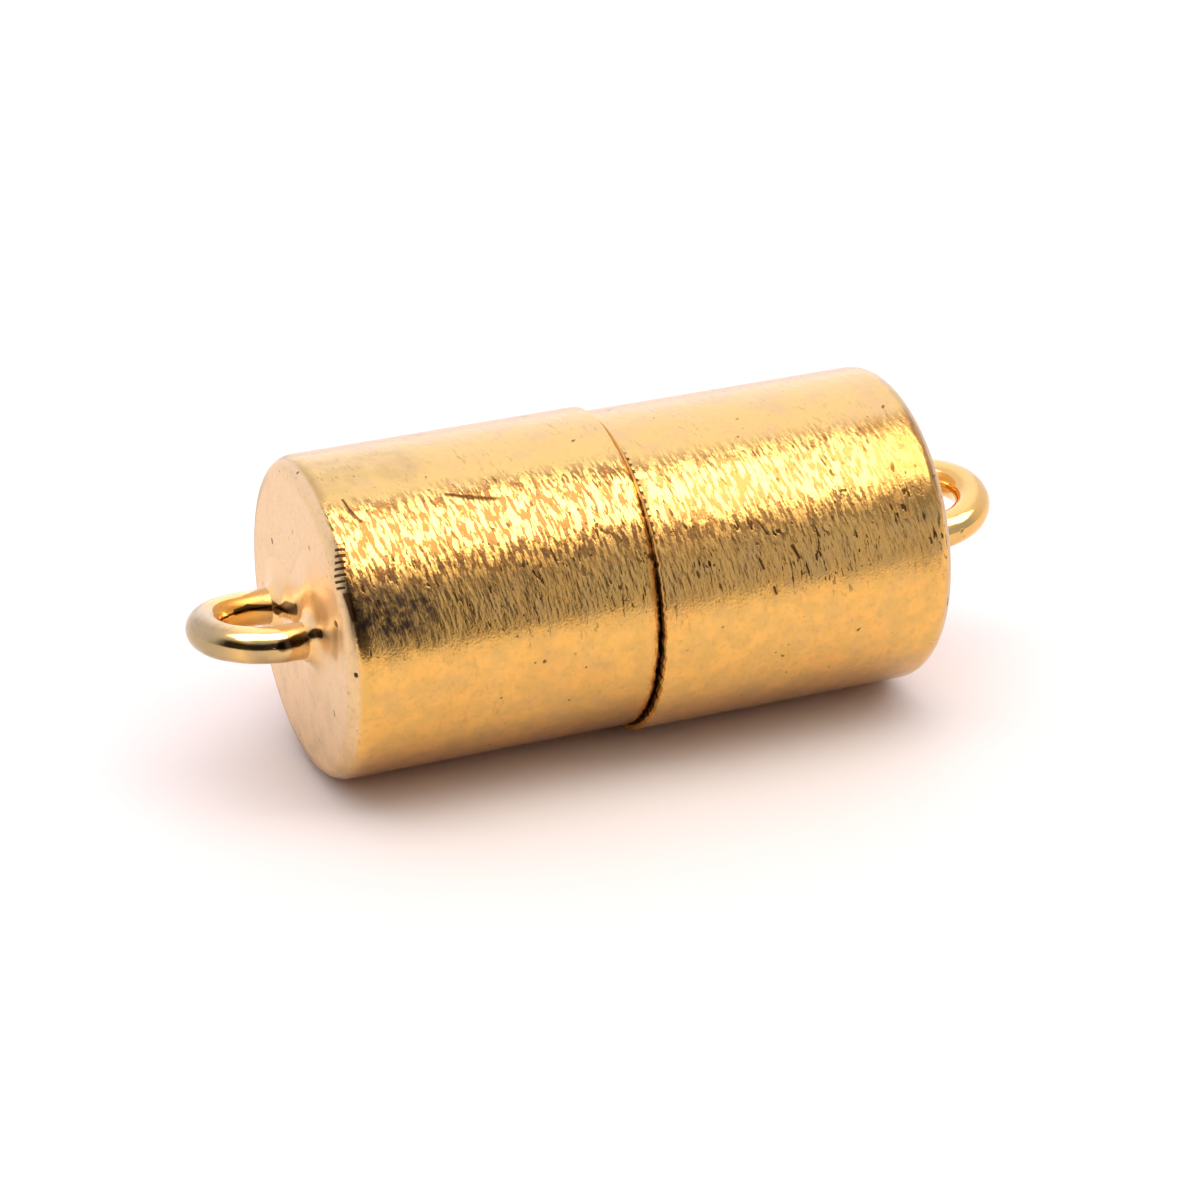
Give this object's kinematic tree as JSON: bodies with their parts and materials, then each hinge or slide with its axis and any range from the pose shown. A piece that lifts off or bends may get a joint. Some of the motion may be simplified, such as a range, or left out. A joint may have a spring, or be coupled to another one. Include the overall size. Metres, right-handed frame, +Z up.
{
  "type": "magnetic clasp",
  "caption": "Cylindrical brushed-gold magnetic jewellery clasp in two halves, each with a soldered wire eye, that pulls apart along its length.",
  "frame": {"origin": "middle of the closed clasp's box, on the surface that it lies on", "axes": "+X along the barrel from the left half to the right half, +Y away from the viewer of the picture, +Z up"},
  "size_m": [0.0212, 0.0084, 0.008],
  "materials": {
    "gold_plated_brass": "brushed gold plating over turned brass, with polished wire eyes",
    "nickel_plated_magnet": "satin nickel plating"
  },
  "bodies": {
    "left_half": {"left_barrel": "gold_plated_brass", "left_magnet": "nickel_plated_magnet"},
    "right_magnet": {"right_magnet": "nickel_plated_magnet"},
    "right_half": {"right_barrel": "gold_plated_brass"}
  },
  "joints": [
    {"name": "pull_apart", "type": "slide", "parent": "left_half", "child": "right_magnet", "axis": [1, 0, 0], "range_m": [0, 0.012]},
    {"name": "swivel", "type": "hinge", "parent": "right_magnet", "child": "right_half", "pos_m": [0.004, -0.00017, 0.004], "axis": [1, 0, 0], "continuous": true}
  ]
}
